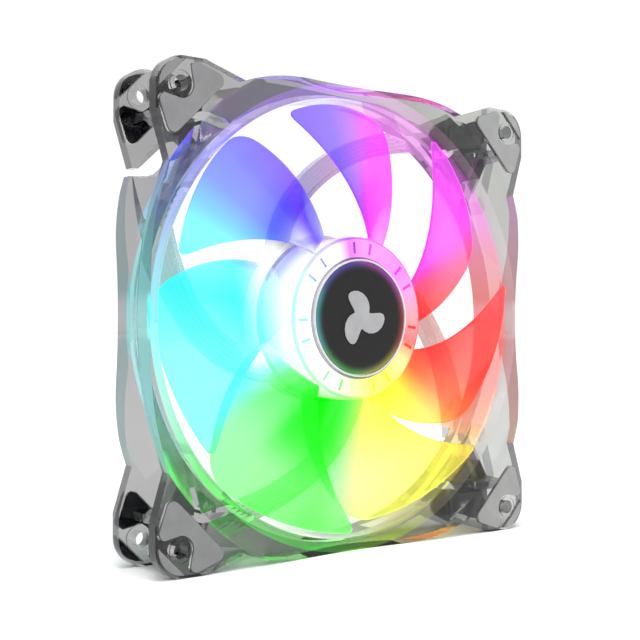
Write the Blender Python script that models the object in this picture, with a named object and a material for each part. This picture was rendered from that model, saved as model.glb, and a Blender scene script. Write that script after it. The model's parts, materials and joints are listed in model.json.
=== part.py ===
"""Case fan, 140 mm format, with a translucent frame, a hub-lit impeller and rubber corner pads.

Metres, +Z up. The origin is the centre of the fan. The rotor turns about the Y axis, the open
intake side faces -Y and the side with the struts faces +Y. The fan stands on its two lower ears.
"""
import math

import bmesh
import bpy
from mathutils import Matrix

MM = 0.001

# Driving dimensions, in millimetres.
HALF_SIDE = 69.75            # centre to the flat of each side
HALF_DEPTH = 12.5            # centre to the face of the pads
PAD_PROUD = 0.4              # how far pads and screw bosses stand out of the ears
EAR_THICK = 3.6
HOLE_PITCH = 124.5
HOLE_R = 2.15
BOSS_R = 3.4
NOTCH = 41.5                 # where an ear starts, along its side
NOTCH_DROP = 65.7            # how far out the side is at that place
SIDE_FLAT = 18.0             # half length of the straight middle of a side
EAR_SHOULDER = 54.5
CORNER_R = 8.5
BORE_R = 66.3
WALL_R = 68.8                # outside of the duct wall
FLARE_R = 76.5               # where the flare under a flange meets its plate
FUNNEL_R = 76.0              # mouth of the funnel at either end of the duct
LIP_R = 69.6                 # foot of the funnel, where the lip begins
FUNNEL_DEEP = 3.0            # depth of the funnel
HUB_R = 24.4
HUB_WALL = 1.4
HUB_FRONT = -11.3
HUB_REAR = 5.6
TIP_R = 64.4
BLADES = 7
BLADE_THICK = 1.3
BLADE_BOW = 0.06             # camber of a blade, as a share of its depth
BLADE_LEAD = (79.5, 43.5, -8.2)   # angle of the leading edge: at the hub, then its sweep
BLADE_TRAIL = (40.4, 29.3, 1.7)   # angle of the trailing edge, in the same way
BLADE_FRONT = (-10.2, -11.1)      # leading edge's Y at the hub and at the tip
BLADE_REAR = (5.1, 1.5)           # trailing edge's Y at the hub and at the tip
TIP_ROUNDS = (3.5, 5.5)           # corner radii at the tip: leading, trailing
BASE_R = 26.2
BASE_FRONT = 8.6
STRUT_END_R = 72.0
SHAFT_R = 1.5
LEDS = 8
POLES = 4
FIT = 0.3                    # gap between pieces that rest on each other
ROUND_STEPS = 72             # facets of the duct
HUB_STEPS = 48
PIN_STEPS = 16

EAR_FACE = HALF_DEPTH - PAD_PROUD
EAR_INNER = EAR_FACE - EAR_THICK
HOLE_AT = HOLE_PITCH / 2
CORNERS = {"tl": (-1, 1), "tr": (1, 1), "bl": (-1, -1), "br": (1, -1)}
STRUT_ANGLES = {"a": 83, "cable": 173, "c": 263, "d": 353}


# ---------------------------------------------------------------- scene and mesh helpers

def clear_scene():
    for old in list(bpy.data.objects):
        bpy.data.objects.remove(old, do_unlink=True)


def make_material(name, color, roughness, metallic=0.0):
    material = bpy.data.materials.new(name)
    material.use_nodes = True
    shader = material.node_tree.nodes["Principled BSDF"]
    shader.inputs["Base Color"].default_value = (*color, 1.0)
    shader.inputs["Roughness"].default_value = roughness
    shader.inputs["Metallic"].default_value = metallic
    return material


def make_object(name, bm, material=None, parent=None, smooth=True):
    """Turn a bmesh in millimetres into a linked object in metres."""
    bmesh.ops.scale(bm, vec=(MM, MM, MM), verts=bm.verts)
    bmesh.ops.recalc_face_normals(bm, faces=bm.faces)
    mesh = bpy.data.meshes.new(name)
    bm.to_mesh(mesh)
    bm.free()
    if smooth:
        mesh.shade_smooth()
        mesh.set_sharp_from_angle(angle=math.radians(35))
    obj = bpy.data.objects.new(name, mesh)
    bpy.context.collection.objects.link(obj)
    if material:
        mesh.materials.append(material)
    if parent:
        obj.parent = parent
    return obj


def cutter(name, bm):
    """A helper shape for a Boolean: it is drawn as wire and isn't part of the model."""
    obj = make_object(name, bm, smooth=False)
    obj.hide_render = True
    obj.display_type = "WIRE"
    return obj


def combine(target, tool, operation):
    step = target.modifiers.new(tool.name, "BOOLEAN")
    step.operation = operation
    step.solver = "EXACT"
    step.object = tool


def prism(bm, outline, low, high):
    """Extrude a closed (x, z) outline along Y from low to high."""
    rings = [[bm.verts.new((x, y, z)) for x, z in outline] for y in (low, high)]
    count = len(outline)
    for i in range(count):
        j = (i + 1) % count
        bm.faces.new((rings[0][i], rings[0][j], rings[1][j], rings[1][i]))
    bm.faces.new(rings[0][::-1])
    bm.faces.new(rings[1])


def turned(bm, profile, steps, turn=0.0):
    """Turn a closed (radius, y) profile about the Y axis. Points at radius 0 become one vertex."""
    rings = []
    for radius, y in profile:
        if radius == 0:
            rings.append([bm.verts.new((0, y, 0))] * steps)
            continue
        angles = [turn + 2 * math.pi * k / steps for k in range(steps)]
        rings.append([bm.verts.new((radius * math.cos(a), y, radius * math.sin(a))) for a in angles])
    for i in range(len(rings)):
        near, far = rings[i], rings[(i + 1) % len(rings)]
        for k in range(steps):
            m = (k + 1) % steps
            corners = []
            for vert in (near[k], near[m], far[m], far[k]):
                if vert not in corners:
                    corners.append(vert)
            if len(corners) > 2:
                bm.faces.new(corners)


def ring_profile(inner, outer, low, high):
    return [(inner, low), (outer, low), (outer, high), (inner, high)]


def disc_profile(radius, low, high):
    return [(0, low), (radius, low), (radius, high), (0, high)]


def box(bm, centre, size, turn=0.0):
    """A box given by centre and size, turned about the Y axis through the origin."""
    place = Matrix.Rotation(-turn, 4, "Y") @ Matrix.Translation(centre)
    made = bmesh.ops.create_cube(bm, size=1.0, matrix=place @ Matrix.Diagonal((*size, 1.0)))
    return made["verts"]


def polar(radius, angle):
    return radius * math.cos(angle), radius * math.sin(angle)


def arc(centre, radius, start, end, steps):
    """Points of an arc from start to end, in degrees, both ends included."""
    points = []
    for k in range(steps + 1):
        x, z = polar(radius, math.radians(start + (end - start) * k / steps))
        points.append((centre[0] + x, centre[1] + z))
    return points


def mirrored(outline, corner):
    """Move an outline drawn in the +X +Z corner to another corner."""
    sx, sz = CORNERS[corner]
    return [(sx * x, sz * z) for x, z in outline]


# ---------------------------------------------------------------- frame

def quarter_outline():
    """The side outline from the top middle, clockwise, to the middle of the +X side."""
    reach = NOTCH - SIDE_FLAT
    drop = HALF_SIDE - NOTCH_DROP
    bow = (reach ** 2 + drop ** 2) / (2 * drop)
    swing = math.degrees(math.asin(reach / bow))
    top = arc((SIDE_FLAT, HALF_SIDE - bow), bow, 90, 90 - swing, 5)
    top.append((EAR_SHOULDER, HALF_SIDE))
    corner = HALF_SIDE - CORNER_R
    rounded = arc((corner, corner), CORNER_R, 90, 0, 7)
    side = [(z, x) for x, z in reversed(top)]
    return top + rounded + side


def frame_outline():
    quarter = quarter_outline()
    outline = []
    for turns in range(4):
        for x, z in quarter:
            for _ in range(turns):
                x, z = z, -x
            outline.append((x, z))
    return outline


def flare_form():
    """Turned envelope: the two flange plates, their flares and the duct wall between them."""
    half = [(WALL_R, 1.0), (WALL_R + 0.6, EAR_INNER - FLARE_R + WALL_R + 0.6), (FLARE_R, EAR_INNER),
            (110.0, EAR_INNER), (110.0, 13.0), (50.0, 13.0)]
    profile = half + [(r, -y) for r, y in reversed(half)]
    bm = bmesh.new()
    turned(bm, profile, ROUND_STEPS)
    return cutter("flare_form", bm)


def bore_cut():
    """The air path: a straight bore with a lip and a funnel at either end."""
    past = 13.0
    lip_y = EAR_FACE - FUNNEL_DEEP
    mouth = FUNNEL_R + (FUNNEL_R - LIP_R) / FUNNEL_DEEP * (past - EAR_FACE)
    half = [(0, past), (mouth, past), (LIP_R, lip_y), (67.3, lip_y - 1.1), (BORE_R, lip_y - 2.1)]
    profile = [(r, -y) for r, y in half] + half[::-1]
    bm = bmesh.new()
    turned(bm, profile, ROUND_STEPS)
    return cutter("bore_cut", bm)


def corner_ribs():
    """Crossed ribs join the front and rear ears. Only the level one reaches the duct wall."""
    wall, start, far, low, high = 39.5, 47.0, 66.0, 53.8, 56.2
    cross = [(wall, low), (low, low), (low, start), (high, start), (high, low), (far, low),
             (far, high), (high, high), (high, far), (low, far), (low, high), (wall, high)]
    bm = bmesh.new()
    for corner in CORNERS:
        prism(bm, mirrored(cross, corner), -EAR_INNER - 0.5, EAR_INNER + 0.5)
    return bm


def pad_outline(grow=0.0):
    """Rounded triangle with a bite round the screw boss, in the +X +Z corner."""
    tip = 2.0 + grow
    upper = arc((57.2, 66.6), tip, 20, 100, 3) + arc((50.9, 64.4), tip, 112, 225, 4)
    lower = [(z, x) for x, z in reversed(upper)]
    bite = arc((HOLE_AT, HOLE_AT), BOSS_R + 0.7 - grow, -68, -202, 8)
    return upper + lower + bite


def corner_pad_outline(grow=0.0):
    """Segment between the rounded corner and a chord just outside the screw boss."""
    centre = HALF_SIDE - CORNER_R
    radius = CORNER_R - 0.9 + grow
    reach = 91.9 - grow - centre * math.sqrt(2)
    swing = math.degrees(math.acos(reach / radius))
    return arc((centre, centre), radius, 45 - swing, 45 + swing, 6)


def ear_pockets(outline):
    """Shallow pockets for one kind of pad, on both faces of all four corners."""
    bm = bmesh.new()
    for corner in CORNERS:
        shape = mirrored(outline, corner)
        prism(bm, shape, -13.0, -EAR_FACE + 1.0)
        prism(bm, shape, EAR_FACE - 1.0, 13.0)
    return bm


def screw_bosses():
    bm = bmesh.new()
    for sx, sz in CORNERS.values():
        for low, high in ((-HALF_DEPTH, -EAR_INNER - 1.0), (EAR_INNER + 1.0, HALF_DEPTH)):
            part = bmesh.new()
            turned(part, disc_profile(BOSS_R, low, high), PIN_STEPS)
            bmesh.ops.translate(part, vec=(sx * HOLE_AT, 0, sz * HOLE_AT), verts=part.verts)
            append(bm, part)
    return bm


def screw_holes():
    bm = bmesh.new()
    for sx, sz in CORNERS.values():
        part = bmesh.new()
        turned(part, disc_profile(HOLE_R, -14.0, 14.0), PIN_STEPS)
        bmesh.ops.translate(part, vec=(sx * HOLE_AT, 0, sz * HOLE_AT), verts=part.verts)
        append(bm, part)
    return bm


def append(bm, part):
    """Copy one bmesh into another and free it."""
    scratch = bpy.data.meshes.new("scratch")
    part.to_mesh(scratch)
    part.free()
    bm.from_mesh(scratch)
    bpy.data.meshes.remove(scratch)


def strut(bm, middle, width):
    """A swept strut from the motor base into the duct wall, with grooves along its front face."""
    stations, inner, outer = 10, 24.5, STRUT_END_R
    half = width / 2
    grooves = (-0.54, -0.18, 0.18, 0.54)

    def centre(radius):
        past = radius - 50.0
        return polar(radius, math.radians(middle - 1.5 * past + 0.012 * past ** 2))

    def section(front):
        points = [(-half, EAR_FACE), (-half, front + 0.3), (-0.86 * half, front)]
        for at in grooves:
            points += [((at - 0.11) * half, front), (at * half, front + 0.6), ((at + 0.11) * half, front)]
        return points + [(0.86 * half, front), (half, front + 0.3), (half, EAR_FACE)]

    rings = []
    for k in range(stations):
        part = k / (stations - 1)
        radius = inner + (outer - inner) * part
        x, z = centre(radius)
        ahead, behind = centre(radius + 0.1), centre(radius - 0.1)
        run = (ahead[0] - behind[0], ahead[1] - behind[1])
        size = math.hypot(*run)
        across = (-run[1] / size, run[0] / size)
        cut = section(BASE_FRONT + 0.1 - 1.2 * part ** 2)
        rings.append([bm.verts.new((x + s * across[0], y, z + s * across[1])) for s, y in cut])
    for near, far in zip(rings, rings[1:]):
        for i in range(len(near)):
            j = (i + 1) % len(near)
            bm.faces.new((near[i], near[j], far[j], far[i]))
    bm.faces.new(rings[0][::-1])
    bm.faces.new(rings[-1])


def motor_base():
    """Shallow cup that carries the motor, with a seat for the label on its rear face."""
    bm = bmesh.new()
    profile = [(5.1, BASE_FRONT), (25.0, BASE_FRONT), (25.0, 7.4), (BASE_R - 0.4, 7.4), (BASE_R, 7.8),
               (BASE_R, EAR_FACE), (22.2, EAR_FACE), (22.2, EAR_FACE - 0.6), (5.1, EAR_FACE - 0.6)]
    turned(bm, profile, HUB_STEPS)
    return bm


def cable_slot():
    """Cut through the rear flange beside the upper left ear, where the cable leaves the duct wall."""
    outline = [(-74.0, 39.3), (-59.6, 39.3), (-50.2, 48.7), (-53.5, 52.0), (-63.9, 41.6), (-74.0, 41.6)]
    bm = bmesh.new()
    prism(bm, outline, 0.6, 13.0)
    return bm


def build_frame(material):
    bm = bmesh.new()
    prism(bm, frame_outline(), -EAR_FACE, EAR_FACE)
    frame = make_object("frame", bm, material)
    combine(frame, flare_form(), "INTERSECT")
    combine(frame, cutter("corner_ribs", corner_ribs()), "UNION")
    combine(frame, cutter("pad_pockets", ear_pockets(pad_outline(0.2))), "DIFFERENCE")
    combine(frame, cutter("corner_pockets", ear_pockets(corner_pad_outline(0.2))), "DIFFERENCE")
    combine(frame, bore_cut(), "DIFFERENCE")
    combine(frame, cutter("screw_bosses", screw_bosses()), "UNION")
    combine(frame, cutter("screw_holes", screw_holes()), "DIFFERENCE")
    combine(frame, cutter("motor_base", motor_base()), "UNION")
    for name, angle in STRUT_ANGLES.items():
        bm = bmesh.new()
        strut(bm, angle, 8.5 if name == "cable" else 7.0)
        combine(frame, cutter("strut_" + name, bm), "UNION")
    combine(frame, cutter("cable_slot", cable_slot()), "DIFFERENCE")
    return frame


# ---------------------------------------------------------------- rubber pads

def build_pads(front_rubber, rear_rubber, parent):
    """A main pad and a corner pad sit in the pockets of each ear."""
    shapes = {"pad": pad_outline(), "corner_pad": corner_pad_outline()}
    for kind, outline in shapes.items():
        for corner in CORNERS:
            shape = mirrored(outline, corner)
            for side, sign, rubber in (("front", -1, front_rubber), ("rear", 1, rear_rubber)):
                faces = sorted((sign * (EAR_FACE - 1.0 + FIT), sign * HALF_DEPTH))
                bm = bmesh.new()
                prism(bm, shape, *faces)
                make_object(f"{side}_{kind}_{corner}", bm, rubber, parent)


# ---------------------------------------------------------------- rotor

def blade(bm, turn):
    """A forward-swept blade, rounded at both tip corners. Its front edge leads."""
    root_r, rows = HUB_R - 0.7, 6
    chord = [0.0, 0.04, 0.12, 0.3, 0.5, 0.7, 0.88, 0.96, 1.0]

    def swept(radius, sweep):
        out = (radius - HUB_R) / (TIP_R - HUB_R)
        return math.radians(sweep[0] + sweep[1] * out + sweep[2] * out ** 2) + turn

    def lead(radius):
        return swept(radius, BLADE_LEAD)

    def trail(radius):
        return swept(radius, BLADE_TRAIL)

    def tip(t):
        span = (lead(TIP_R) - trail(TIP_R)) * TIP_R
        short = 0.0
        for distance, rounding in zip((t * span, (1 - t) * span), TIP_ROUNDS):
            if distance < rounding:
                short += rounding - math.sqrt(rounding ** 2 - (rounding - distance) ** 2)
        return TIP_R - short

    def point(u, t, side):
        radius = root_r + (tip(t) - root_r) * u
        out = (radius - HUB_R) / (TIP_R - HUB_R)
        front_y = BLADE_FRONT[0] + (BLADE_FRONT[1] - BLADE_FRONT[0]) * out
        depth = BLADE_REAR[0] + (BLADE_REAR[1] - BLADE_REAR[0]) * out - front_y
        angle = lead(radius) + (trail(radius) - lead(radius)) * t
        y = front_y + depth * (t - BLADE_BOW * math.sin(math.pi * t))
        rise = depth * (1 - BLADE_BOW * math.pi * math.cos(math.pi * t))
        run = (lead(radius) - trail(radius)) * radius
        slope = math.hypot(rise, run)
        taper = 0.55 + 0.45 * math.sin(math.pi * t)
        half = side * taper * BLADE_THICK / 2 * (1.15 - 0.3 * u)
        x, z = polar(radius, angle + half * rise / slope / radius)
        return x, y + half * run / slope, z

    faces = []
    for side in (-1, 1):
        faces.append([[bm.verts.new(point(i / rows, t, side)) for t in chord] for i in range(rows + 1)])
    for grid in faces:
        for i in range(rows):
            for j in range(len(chord) - 1):
                bm.faces.new((grid[i][j], grid[i][j + 1], grid[i + 1][j + 1], grid[i + 1][j]))
    under, over = faces
    last = len(chord) - 1
    for i in range(rows):
        bm.faces.new((under[i][0], under[i + 1][0], over[i + 1][0], over[i][0]))
        bm.faces.new((under[i][last], over[i][last], over[i + 1][last], under[i + 1][last]))
    for j in range(last):
        bm.faces.new((under[0][j], over[0][j], over[0][j + 1], under[0][j + 1]))
        bm.faces.new((under[rows][j], under[rows][j + 1], over[rows][j + 1], over[rows][j]))


def hub_slots():
    """A pair of short radial slots in the hub's front face in front of each gap between blades."""
    bm = bmesh.new()
    for k in range(BLADES):
        for offset in (79.0, 95.5):
            turn = math.radians(offset) + 2 * math.pi * k / BLADES
            box(bm, (21.1, HUB_FRONT, 0), (3.4, 1.0, 0.9), turn)
    return bm


def build_impeller(material, parent):
    inner = HUB_R - HUB_WALL
    profile = [(0, -10.7), (18.0, -10.7), (18.0, HUB_FRONT), (23.2, HUB_FRONT), (HUB_R, -10.3),
               (HUB_R, HUB_REAR), (inner, HUB_REAR), (inner, -9.5), (3.5, -9.5), (3.5, -5.4),
               (SHAFT_R + FIT, -5.4), (SHAFT_R + FIT, -9.6), (0, -9.6)]
    bm = bmesh.new()
    turned(bm, profile, HUB_STEPS)
    impeller = make_object("impeller", bm, material, parent)
    bm = bmesh.new()
    for k in range(BLADES):
        blade(bm, 2 * math.pi * k / BLADES)
    combine(impeller, cutter("blade_set", bm), "UNION")
    combine(impeller, cutter("hub_slots", hub_slots()), "DIFFERENCE")


def emblem_outline():
    """A plain three-lobed mark."""
    points = []
    steps = 48
    for k in range(steps):
        angle = 2 * math.pi * k / steps
        lobe = 0.5 + 0.5 * math.cos(3 * (angle - math.pi / 2))
        points.append(polar(3.2 + 5.6 * lobe ** 0.8, angle + 0.5 * lobe))
    return points


def build_hub_badge(materials, parent):
    bm = bmesh.new()
    turned(bm, disc_profile(16.9, -12.1, -11.0), HUB_STEPS)
    make_object("hub_badge", bm, materials["badge"], parent)
    bm = bmesh.new()
    turned(bm, ring_profile(17.2, 17.7, -12.2, -11.0), HUB_STEPS)
    make_object("badge_ring", bm, materials["trim"], parent)
    bm = bmesh.new()
    prism(bm, emblem_outline(), -12.45, -12.2)
    make_object("badge_emblem", bm, materials["emblem"], parent)


def build_rotor_core(materials, parent):
    """Steel cup, ring magnet, shaft and the clip that holds the shaft in its bearing."""
    outer = HUB_R - HUB_WALL - FIT
    profile = [(3.8, -9.2), (outer, -9.2), (outer, 5.2), (outer - 1.2, 5.2), (outer - 1.2, -8.2), (3.8, -8.2)]
    bm = bmesh.new()
    turned(bm, profile, HUB_STEPS)
    make_object("rotor_yoke", bm, materials["steel"], parent)
    bm = bmesh.new()
    turned(bm, ring_profile(outer - 3.0, outer - 1.5, -6.0, 4.8), HUB_STEPS)
    make_object("ring_magnet", bm, materials["magnet"], parent)
    groove = SHAFT_R - 0.4
    profile = [(0, -9.3), (SHAFT_R, -9.3), (SHAFT_R, 7.9), (groove, 7.9), (groove, 8.7), (SHAFT_R, 8.7),
               (SHAFT_R - 0.3, 9.7), (0, 9.7)]
    bm = bmesh.new()
    turned(bm, profile, PIN_STEPS)
    make_object("shaft", bm, materials["steel"], parent)
    bm = bmesh.new()
    opening = 30
    ring = arc((0, 0), 2.7, opening, 360 - opening, 16) + arc((0, 0), groove + 0.15, 360 - opening, opening, 12)
    prism(bm, ring, 8.05, 8.55)
    make_object("shaft_clip", bm, materials["steel"], parent)


# ---------------------------------------------------------------- motor and light board

def build_bearing(materials, parent):
    pieces = {
        "bearing_tube": (ring_profile(3.6, 4.8, -4.6, 11.2), "brass"),
        "sleeve_bearing": (ring_profile(SHAFT_R + 0.13, 3.3, -3.4, 7.2), "bronze"),
        "oil_seal": (ring_profile(SHAFT_R + FIT, 3.3, -4.4, -3.7), "black_plastic"),
        "thrust_plate": (disc_profile(3.3, 9.95, 10.5), "white_plastic"),
        "bearing_cap": (disc_profile(3.3, 10.7, 11.2), "black_plastic"),
    }
    for name, (profile, slot) in pieces.items():
        bm = bmesh.new()
        turned(bm, profile, PIN_STEPS)
        make_object(name, bm, materials[slot], parent)


def pole_outline(hub, arm, reach, shoe):
    """A four-pole star with curved shoes, seen along the axis."""
    outline = []
    for k in range(POLES):
        middle = 360 * k / POLES
        turn = math.radians(middle)
        near = math.sqrt(hub ** 2 - arm ** 2)
        far = math.sqrt((reach - 1.6) ** 2 - arm ** 2)
        heel = polar(reach - 1.6, math.radians(shoe))
        points = [(near, -arm), (far, -arm), (heel[0], -heel[1])]
        points += arc((0, 0), reach, -shoe, shoe, 6)
        points += [heel, (far, arm), (near, arm)]
        gap = 360 / POLES - math.degrees(math.asin(arm / hub))
        points += arc((0, 0), hub, math.degrees(math.asin(arm / hub)), gap, 4)[1:-1]
        c, s = math.cos(turn), math.sin(turn)
        outline += [(x * c - z * s, x * s + z * c) for x, z in points]
    return outline


def star_plate(name, low, high, shape, material, parent):
    """A star-shaped plate with a round hole for the bearing tube."""
    bm = bmesh.new()
    prism(bm, pole_outline(*shape), low, high)
    plate = make_object(name, bm, material, parent)
    bm = bmesh.new()
    turned(bm, disc_profile(5.1, -8.0, 8.0), PIN_STEPS)
    combine(plate, cutter(name + "_hole", bm), "DIFFERENCE")


def build_stator(materials, parent):
    star_plate("stator_core", -2.8, 2.8, (7.2, 2.2, 19.1, 36), materials["lamination"], parent)
    star_plate("front_insulator", -3.9, -3.1, (7.2, 2.2, 17.6, 32), materials["white_plastic"], parent)
    star_plate("rear_insulator", 3.1, 3.9, (7.2, 2.2, 17.6, 32), materials["white_plastic"], parent)
    for k in range(POLES):
        turn = 2 * math.pi * k / POLES
        bm = bmesh.new()
        box(bm, (11.9, 0, 0), (6.2, 11.2, 8.4), turn)
        coil = make_object(f"coil_{k + 1}", bm, materials["copper"], parent, smooth=False)
        bm = bmesh.new()
        box(bm, (11.9, 0, 0), (8.0, 8.4, 5.0), turn)
        combine(coil, cutter(f"coil_{k + 1}_core", bm), "DIFFERENCE")


def build_board(materials, parent):
    """Circuit board with the driver, the rotor sensor, a capacitor and a ring of lamps."""
    bm = bmesh.new()
    turned(bm, ring_profile(5.1, 24.7, 7.5, BASE_FRONT - FIT), HUB_STEPS)
    make_object("circuit_board", bm, materials["board"], parent)
    parts = {
        "driver_chip": ((12.0, 6.75, 0), (4.0, 1.1, 5.0), 45, "black_plastic"),
        "rotor_sensor": ((17.2, 6.6, 0), (1.6, 1.4, 4.0), 132, "black_plastic"),
        "filter_capacitor": ((12.4, 6.6, 0), (2.0, 1.4, 3.2), 228, "ceramic"),
    }
    for name, (centre, size, angle, slot) in parts.items():
        bm = bmesh.new()
        box(bm, centre, size, math.radians(angle))
        make_object(name, bm, materials[slot], parent, smooth=False)
    for k in range(LEDS):
        turn = 2 * math.pi * (k + 0.5) / LEDS
        bm = bmesh.new()
        box(bm, (23.1, 6.65, 0), (2.2, 1.2, 3.0), turn)
        make_object(f"lamp_{k + 1}", bm, materials[f"lamp_{k + 1}"], parent, smooth=False)


def build_label(material, parent):
    bm = bmesh.new()
    turned(bm, disc_profile(21.9, EAR_FACE - 0.4, EAR_FACE), HUB_STEPS)
    make_object("rear_label", bm, material, parent)


# ---------------------------------------------------------------- assembly

def hue_color(hue):
    """Full-strength colour of a hue between 0 and 1."""
    return tuple(min(1.0, max(0.0, abs((hue * 6 + shift) % 6 - 3) - 1)) for shift in (0, 4, 2))


def make_materials():
    materials = {
        "smoked_clear": make_material("smoked_clear", (0.62, 0.62, 0.63), 0.12),
        "frosted_clear": make_material("frosted_clear", (0.92, 0.92, 0.95), 0.35),
        "pad_rubber": make_material("pad_rubber", (0.25, 0.25, 0.25), 0.7),
        "dark_rubber": make_material("dark_rubber", (0.03, 0.03, 0.05), 0.7),
        "badge": make_material("badge", (0.03, 0.03, 0.03), 0.4),
        "trim": make_material("trim", (0.85, 0.85, 0.88), 0.2),
        "emblem": make_material("emblem", (0.42, 0.42, 0.42), 0.4),
        "steel": make_material("steel", (0.6, 0.6, 0.6), 0.3, 1.0),
        "magnet": make_material("magnet", (0.08, 0.08, 0.08), 0.6),
        "brass": make_material("brass", (0.75, 0.55, 0.25), 0.3, 1.0),
        "bronze": make_material("bronze", (0.5, 0.33, 0.2), 0.5, 1.0),
        "lamination": make_material("lamination", (0.35, 0.35, 0.37), 0.4, 1.0),
        "copper": make_material("copper", (0.72, 0.35, 0.2), 0.35, 1.0),
        "black_plastic": make_material("black_plastic", (0.02, 0.02, 0.02), 0.5),
        "white_plastic": make_material("white_plastic", (0.8, 0.8, 0.78), 0.5),
        "board": make_material("board", (0.85, 0.85, 0.82), 0.5),
        "ceramic": make_material("ceramic", (0.55, 0.42, 0.28), 0.5),
        "label": make_material("label", (0.75, 0.76, 0.78), 0.4),
    }
    for k in range(LEDS):
        hue = (0.93 - (k + 0.5) / LEDS) % 1.0
        materials[f"lamp_{k + 1}"] = make_material(f"lamp_{k + 1}", hue_color(hue), 0.3)
    return materials


def main():
    clear_scene()
    materials = make_materials()
    frame = build_frame(materials["smoked_clear"])
    build_pads(materials["pad_rubber"], materials["dark_rubber"], frame)
    build_bearing(materials, frame)
    build_stator(materials, frame)
    build_board(materials, frame)
    build_label(materials["label"], frame)
    rotor_axis = bpy.data.objects.new("rotor_axis", None)
    bpy.context.collection.objects.link(rotor_axis)
    rotor_axis.parent = frame
    build_impeller(materials["frosted_clear"], rotor_axis)
    build_hub_badge(materials, rotor_axis)
    build_rotor_core(materials, rotor_axis)


main()
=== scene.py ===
"""Looks of the translucent case fan: smoke-clear frame, hub-lit impeller, rubber pads.

The rotor's axis is Y and the intake side faces -Y. Angles round the axis start at +X and run
towards +Z. Shapes are drawn in millimetres, as in the CAD, and turned into metres at the end.
"""

import json
import math

import bmesh
import bpy
from mathutils import Matrix, Vector


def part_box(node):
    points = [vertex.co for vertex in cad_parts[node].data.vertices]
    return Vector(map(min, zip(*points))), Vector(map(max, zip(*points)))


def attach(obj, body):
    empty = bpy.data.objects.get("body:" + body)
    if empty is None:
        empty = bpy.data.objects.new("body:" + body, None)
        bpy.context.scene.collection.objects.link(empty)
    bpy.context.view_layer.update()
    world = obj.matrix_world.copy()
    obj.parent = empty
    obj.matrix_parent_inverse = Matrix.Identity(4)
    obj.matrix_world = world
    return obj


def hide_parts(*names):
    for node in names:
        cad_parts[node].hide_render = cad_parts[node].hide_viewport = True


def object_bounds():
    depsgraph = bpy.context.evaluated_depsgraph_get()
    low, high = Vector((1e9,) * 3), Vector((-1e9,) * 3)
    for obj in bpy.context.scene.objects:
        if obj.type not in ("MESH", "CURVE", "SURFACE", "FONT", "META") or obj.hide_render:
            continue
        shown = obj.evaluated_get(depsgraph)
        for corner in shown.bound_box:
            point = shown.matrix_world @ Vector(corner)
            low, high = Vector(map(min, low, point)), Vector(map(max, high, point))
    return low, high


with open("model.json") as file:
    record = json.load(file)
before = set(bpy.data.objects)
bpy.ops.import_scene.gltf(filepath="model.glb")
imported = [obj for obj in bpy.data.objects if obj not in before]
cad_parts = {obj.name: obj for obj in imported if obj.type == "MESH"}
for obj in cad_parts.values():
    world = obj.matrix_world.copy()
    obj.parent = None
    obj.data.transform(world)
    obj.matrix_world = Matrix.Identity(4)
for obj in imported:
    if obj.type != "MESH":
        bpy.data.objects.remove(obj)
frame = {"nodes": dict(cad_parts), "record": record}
cad_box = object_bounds()
NODES = frame["nodes"]
MM = 0.001


def extent(node, corner, axis):
    """One coordinate of a node's lowest (0) or highest (1) corner, in millimetres."""
    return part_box(node)[corner][axis] / MM


# Driving dimensions, in millimetres.
HALF_SIDE = extent("frame", 1, 0)      # centre to the flat of each side
HALF_DEPTH = extent("frame", 1, 1)     # centre to the face of the screw bosses
PAD_PROUD = 0.4                        # how far pads and screw bosses stand out of the ears
PAD_GAP = 0.2                          # room round a pad in its pocket
POCKET_DEEP = 1.0
EAR_THICK = 3.6
HOLE_AT = 62.25                        # a screw hole's place along each side
HOLE_R = 2.15
BOSS_R = 3.4
NOTCH = 41.5                           # where an ear starts, along its side
NOTCH_DROP = 65.7                      # how far out the side is at that place
SIDE_FLAT = 18.0                       # half length of the straight middle of a side
EAR_SHOULDER = 54.5
CORNER_R = 8.5
RIB_WALL = 39.5                        # where the level ribs start, inside the duct wall
RIB_START = 47.0                       # where the upright ribs start
RIB_END = 66.0
RIB_LOW, RIB_HIGH = 53.8, 56.2         # both faces of a rib
BORE_R = 66.3
WALL_R = 68.8                          # outside of the duct wall
WALL_DRAFT = 0.6                       # how much thicker the wall is beside a flange
FLARE_R = 76.5                         # where the flare under a flange meets its plate
FUNNEL_R = 76.0                        # mouth of the funnel at either end of the duct
LIP_R = 69.6                           # foot of the funnel, where the lip begins
FUNNEL_DEEP = 3.0
LIP_DEEP = 2.1                         # depth of the lip, from the funnel's foot to the bore
HUB_R = 24.4
HUB_WALL = 1.4
HUB_FRONT = -11.3
HUB_REAR = extent("impeller", 1, 1)
SEAT_R = 18.0                          # seat of the disc in the hub's face
SHAFT_HOLE_R = 1.8
SLOT_AT = 21.1                         # middle of the hub's slots, out from the axis
SLOT_LONG = 3.4
TIP_R = 64.4
BLADES = 7
BLADE_ROOT_R = HUB_R - 0.7             # the blades start inside the hub's wall
BLADE_THICK = 1.3
BLADE_EDGE = 0.8                       # how far in from its edge a blade is rounded
BLADE_BOW = 0.06                       # camber of a blade, as a share of its depth
BLADE_LEAD = (79.5, 43.5, -8.2)        # angle of the leading edge: at the hub, then its sweep
BLADE_TRAIL = (40.4, 29.3, 1.7)        # angle of the trailing edge, in the same way
BLADE_FRONT = (-10.2, -11.1)           # leading edge's Y at the hub and at the tip
BLADE_REAR = (5.1, 1.5)                # trailing edge's Y at the hub and at the tip
TIP_ROUNDS = (3.5, 5.5)                # corner radii at the tip: leading, trailing
BASE_R = 26.2
BASE_FRONT = 8.6
STRUT_INNER_R, STRUT_END_R = 24.5, 72.0
EAR_FACE = HALF_DEPTH - PAD_PROUD
EAR_INNER = EAR_FACE - EAR_THICK
LIP_Y = EAR_FACE - FUNNEL_DEEP
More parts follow.
